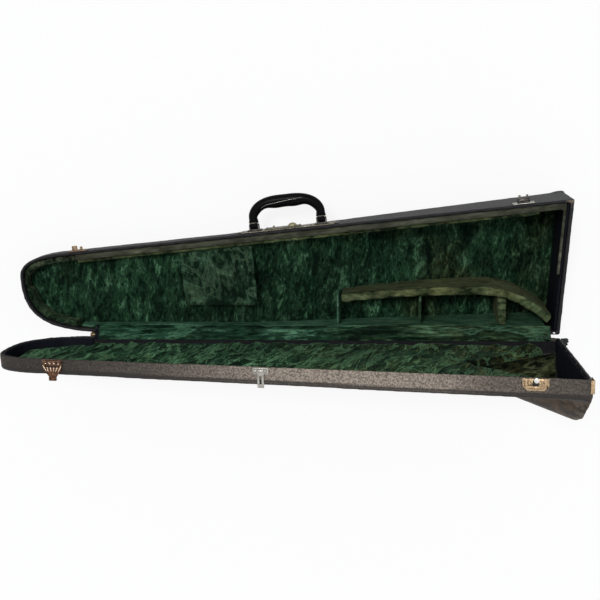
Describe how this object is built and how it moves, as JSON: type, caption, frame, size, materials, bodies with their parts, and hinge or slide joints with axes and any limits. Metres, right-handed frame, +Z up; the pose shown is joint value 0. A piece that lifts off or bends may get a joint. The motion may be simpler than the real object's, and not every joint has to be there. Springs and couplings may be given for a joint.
{
  "type": "trombone case",
  "caption": "Long tapered instrument case with a round tip, lined wells for slide and bell, a hinged lid with a half-cone hump, carrying handle and latches.",
  "frame": {"origin": "centre of the bounding box's underside, on the surface the case lies on", "axes": "+X along the hinge toward the bell end, +Y from the hinge side to the handle side, +Z up; the base lies on its back with the bell end's rim raised"},
  "size_m": [0.9514, 0.3418, 0.3589],
  "materials": {
    "leatherette": "plywood covered in worn black leatherette",
    "rim_lip": "grey-brown cloth over a wooden lip",
    "olive_velvet": "olive velvet over wood",
    "green_velvet": "dark green crushed velvet",
    "black_lining": "matt black lining",
    "brass": "aged, satin",
    "nickel": "dull nickel plate",
    "iron": "dark steel",
    "grip": "glossy black"
  },
  "bodies": {
    "base": {"base_side_wall": "leatherette", "base_end_wall": "leatherette", "base_back_panel": "leatherette", "floor_pad": "green_velvet", "base_end_lining": "black_lining", "handle_side_block": "olive_velvet", "base_rim_lip": "rim_lip", "hinge_side_ledge": "green_velvet", "tip_pad": "green_velvet", "slide_bridge": "green_velvet", "bell_partition": "olive_velvet", "accessory_end_board": "olive_velvet", "thin_divider": "green_velvet", "thick_divider": "olive_velvet", "hinge_base_leaf_1": "brass", "hinge_base_leaf_2": "brass", "hinge_base_leaf_3": "brass", "hinge_pin_1": "iron", "hinge_pin_2": "iron", "hinge_pin_3": "iron", "handle_plate": "brass", "handle_bracket_left": "nickel", "handle_bracket_right": "nickel", "handle_pin_left": "iron", "handle_pin_right": "iron", "lock_case": "brass", "left_catch_plate": "brass", "left_catch_staple": "iron", "right_latch_plate": "nickel", "right_latch_housing": "iron", "right_latch_pin": "iron", "hinge_cloth": "green_velvet"},
    "lid": {"lid_side_wall": "leatherette", "lid_end_wall": "leatherette", "lid_panel": "leatherette", "lid_facing": "black_lining", "lid_end_lining": "black_lining", "lid_hump_lining": "green_velvet", "lid_pad": "green_velvet", "hinge_lid_leaf_1": "brass", "hinge_lid_leaf_2": "brass", "hinge_lid_leaf_3": "brass", "centre_hasp_plate": "nickel", "centre_hasp_pin": "iron", "left_hasp_plate": "brass", "left_hasp_pin": "iron", "right_strike_plate": "brass", "right_strike_knob": "nickel", "end_corner_plate": "brass"},
    "handle": {"handle_grip": "grip", "handle_end_left": "nickel", "handle_end_right": "nickel"},
    "lock_button": {"lock_thumb_slide": "brass"},
    "left_hasp": {"left_hasp_arm": "brass"},
    "centre_hasp": {"centre_hasp_strap": "nickel"},
    "latch_lever": {"right_latch_lever": "nickel"}
  },
  "joints": [
    {"name": "lid_hinge", "type": "hinge", "parent": "base", "child": "lid", "pos_m": [-0.46527, -0.06832, 0.03751], "axis": [-0.9948, 0.0003, -0.1017], "range_deg": [0, 92], "deforming": ["hinge_cloth"]},
    {"name": "handle_pivot", "type": "hinge", "parent": "base", "child": "handle", "pos_m": [0.00099, 0.1213, 0.06788], "axis": [0.99, 0.0972, 0.1018], "range_deg": [0, 80]},
    {"name": "lock_button_slide", "type": "slide", "parent": "base", "child": "lock_button", "axis": [0.99, 0.0972, 0.1018], "range_m": [0, 0.006]},
    {"name": "left_hasp_hinge", "type": "hinge", "parent": "lid", "child": "left_hasp", "pos_m": [-0.37782, -0.07751, 0.19595], "axis": [-0.9802, 0.0043, -0.1981], "range_deg": [0, 180]},
    {"name": "centre_hasp_hinge", "type": "hinge", "parent": "lid", "child": "centre_hasp", "pos_m": [-0.04161, -0.08057, 0.26384], "axis": [-0.9802, 0.0043, -0.1981], "range_deg": [0, 180]},
    {"name": "latch_lever_hinge", "type": "hinge", "parent": "base", "child": "latch_lever", "pos_m": [0.38308, 0.15636, 0.12], "axis": [0.99, 0.0972, 0.1018], "range_deg": [0, 90]}
  ]
}
